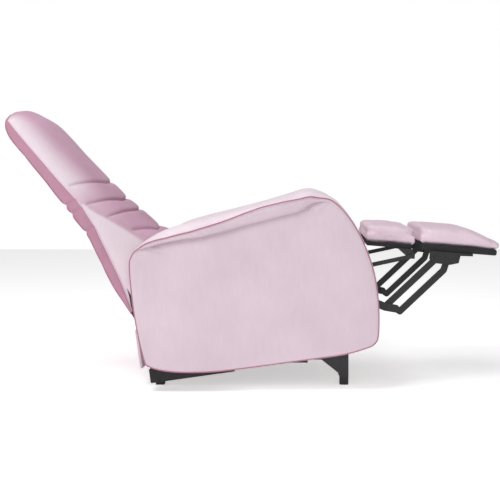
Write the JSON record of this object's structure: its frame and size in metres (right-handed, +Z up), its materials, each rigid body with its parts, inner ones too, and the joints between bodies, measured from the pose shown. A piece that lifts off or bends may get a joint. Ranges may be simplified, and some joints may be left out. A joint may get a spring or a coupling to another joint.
{
  "type": "glider nursery recliner chair",
  "caption": "Padded nursery recliner armchair on a hanging-link glide base, with a channelled reclining back, piped arms and a two-pad folding footrest.",
  "frame": {"origin": "on the floor, under the middle of the chair's box as it stands reclined with the footrest open", "axes": "+X forward, the way a sitter faces; +Y to the sitter's left; +Z up"},
  "size_m": [1.6474, 0.77, 0.9422],
  "materials": {
    "arm_velvet": "soft velvet, light rose",
    "cushion_velvet": "soft velvet, rose",
    "band_velvet": "soft velvet, deeper rose in shade",
    "black_steel": "semi-gloss black powder coat",
    "bright_steel": "zinc-plated",
    "black_cloth": "matt non-woven lining",
    "timber": "sawn softwood and plywood",
    "rubber": "matt black",
    "felt": "grey insulator felt"
  },
  "bodies": {
    "base": {"base_side_right": "black_steel", "base_side_left": "black_steel", "feet": "rubber", "base_cross_tubes": "black_steel", "glide_pins_upper": "bright_steel"},
    "front_glide_links": {"front_glide_link_right": "black_steel", "front_glide_link_left": "black_steel"},
    "rear_glide_links": {"rear_glide_link_right": "black_steel", "rear_glide_link_left": "black_steel"},
    "carriage": {"carriage_side_right": "black_steel", "carriage_side_left": "black_steel", "carriage_cross_tubes": "black_steel", "glide_pins_lower": "bright_steel", "tilt_shaft": "bright_steel"},
    "seat": {"mechanism_plate_right": "black_steel", "mechanism_plate_left": "black_steel", "seat_side_rail_right": "timber", "seat_side_rail_left": "timber", "seat_front_rail": "timber", "seat_rear_rail": "timber", "seat_springs": "bright_steel", "seat_deck": "felt", "seat_cushion": "cushion_velvet", "plate_spacers": "bright_steel", "arm_bolts": "bright_steel", "pivot_pins": "bright_steel", "outer_rear_rail": "timber", "rear_panel": "band_velvet", "arm_frame_right": "timber", "arm_frame_left": "timber", "arm_cushion_right": "arm_velvet", "arm_cushion_left": "arm_velvet", "arm_roll_right": "arm_velvet", "arm_roll_left": "arm_velvet", "arm_runner_right": "black_cloth", "arm_runner_left": "black_cloth"},
    "back": {"outer_back": "band_velvet", "back_frame": "timber", "back_bracket_right": "black_steel", "back_bracket_left": "black_steel", "back_cushion": "cushion_velvet"},
    "lower_links": {"lower_link_right": "black_steel", "lower_link_left": "black_steel", "torsion_tube": "black_steel", "knee_rivets": "black_steel"},
    "outer_links": {"outer_link_right": "black_steel", "outer_link_left": "black_steel"},
    "parallel_links": {"parallel_link_right": "black_steel", "parallel_link_left": "black_steel"},
    "footrest": {"footrest_bracket_right": "black_steel", "footrest_bracket_left": "black_steel", "toe_rivets": "black_steel", "footrest_board": "black_cloth", "footrest_pad": "cushion_velvet"},
    "mid_links": {"mid_link_right": "black_steel", "mid_link_left": "black_steel"},
    "mid_rest": {"mid_rest_board": "black_cloth", "mid_rest_pad": "cushion_velvet", "mid_rest_lugs": "black_steel"}
  },
  "joints": [
    {"name": "glide", "type": "hinge", "parent": "base", "child": "front_glide_links", "pos_m": [0.16567, 0, 0.185], "axis": [0, 1, 0], "range_deg": [-17, 17]},
    {"name": "rear_glide", "type": "hinge", "parent": "base", "child": "rear_glide_links", "pos_m": [-0.17433, 0, 0.185], "axis": [0, 1, 0], "range_deg": [-17.01, 17.01]},
    {"name": "carriage_level", "type": "hinge", "parent": "front_glide_links", "child": "carriage", "pos_m": [0.16567, 0, 0.08], "axis": [0, 1, 0], "range_deg": [-17.01, 17.01]},
    {"name": "recline", "type": "hinge", "parent": "carriage", "child": "seat", "pos_m": [-0.00433, 0, 0.15], "axis": [0, 1, 0], "range_deg": [0, 8]},
    {"name": "back_recline", "type": "hinge", "parent": "seat", "child": "back", "pos_m": [-0.35444, 0, 0.23409], "axis": [0, 1, 0], "range_deg": [0, 20.01]},
    {"name": "footrest", "type": "hinge", "parent": "seat", "child": "lower_links", "pos_m": [0.23964, 0, 0.34687], "axis": [0, 1, 0], "range_deg": [0, 77.5]},
    {"name": "outer_knee", "type": "hinge", "parent": "lower_links", "child": "outer_links", "pos_m": [0.43716, 0, 0.26355], "axis": [0, 1, 0], "range_deg": [-95.51, 0]},
    {"name": "parallel_knee", "type": "hinge", "parent": "lower_links", "child": "parallel_links", "pos_m": [0.47236, 0, 0.25739], "axis": [0, 1, 0], "range_deg": [-95.51, 0]},
    {"name": "footrest_toe", "type": "hinge", "parent": "outer_links", "child": "footrest", "pos_m": [0.6085, 0, 0.42396], "axis": [0, 1, 0], "range_deg": [0, 95.51]},
    {"name": "mid_link_pivot", "type": "hinge", "parent": "seat", "child": "mid_links", "pos_m": [0.30532, 0, 0.38256], "axis": [0, 1, 0], "range_deg": [0, 120.53]},
    {"name": "mid_rest_pivot", "type": "hinge", "parent": "mid_links", "child": "mid_rest", "pos_m": [0.53018, 0, 0.43006], "axis": [0, 1, 0], "range_deg": [-67.63, 0]}
  ],
  "couplings": [
    {"joint": "rear_glide", "follows": "glide", "ratio": 1},
    {"joint": "carriage_level", "follows": "glide", "ratio": -1},
    {"joint": "back_recline", "follows": "recline", "ratio": 2.5},
    {"joint": "outer_knee", "follows": "footrest", "ratio": -1.2323},
    {"joint": "parallel_knee", "follows": "footrest", "ratio": -1.2323},
    {"joint": "footrest_toe", "follows": "footrest", "ratio": 1.2323},
    {"joint": "mid_link_pivot", "follows": "footrest", "ratio": 1.5551},
    {"joint": "mid_rest_pivot", "follows": "footrest", "ratio": -0.87254}
  ]
}
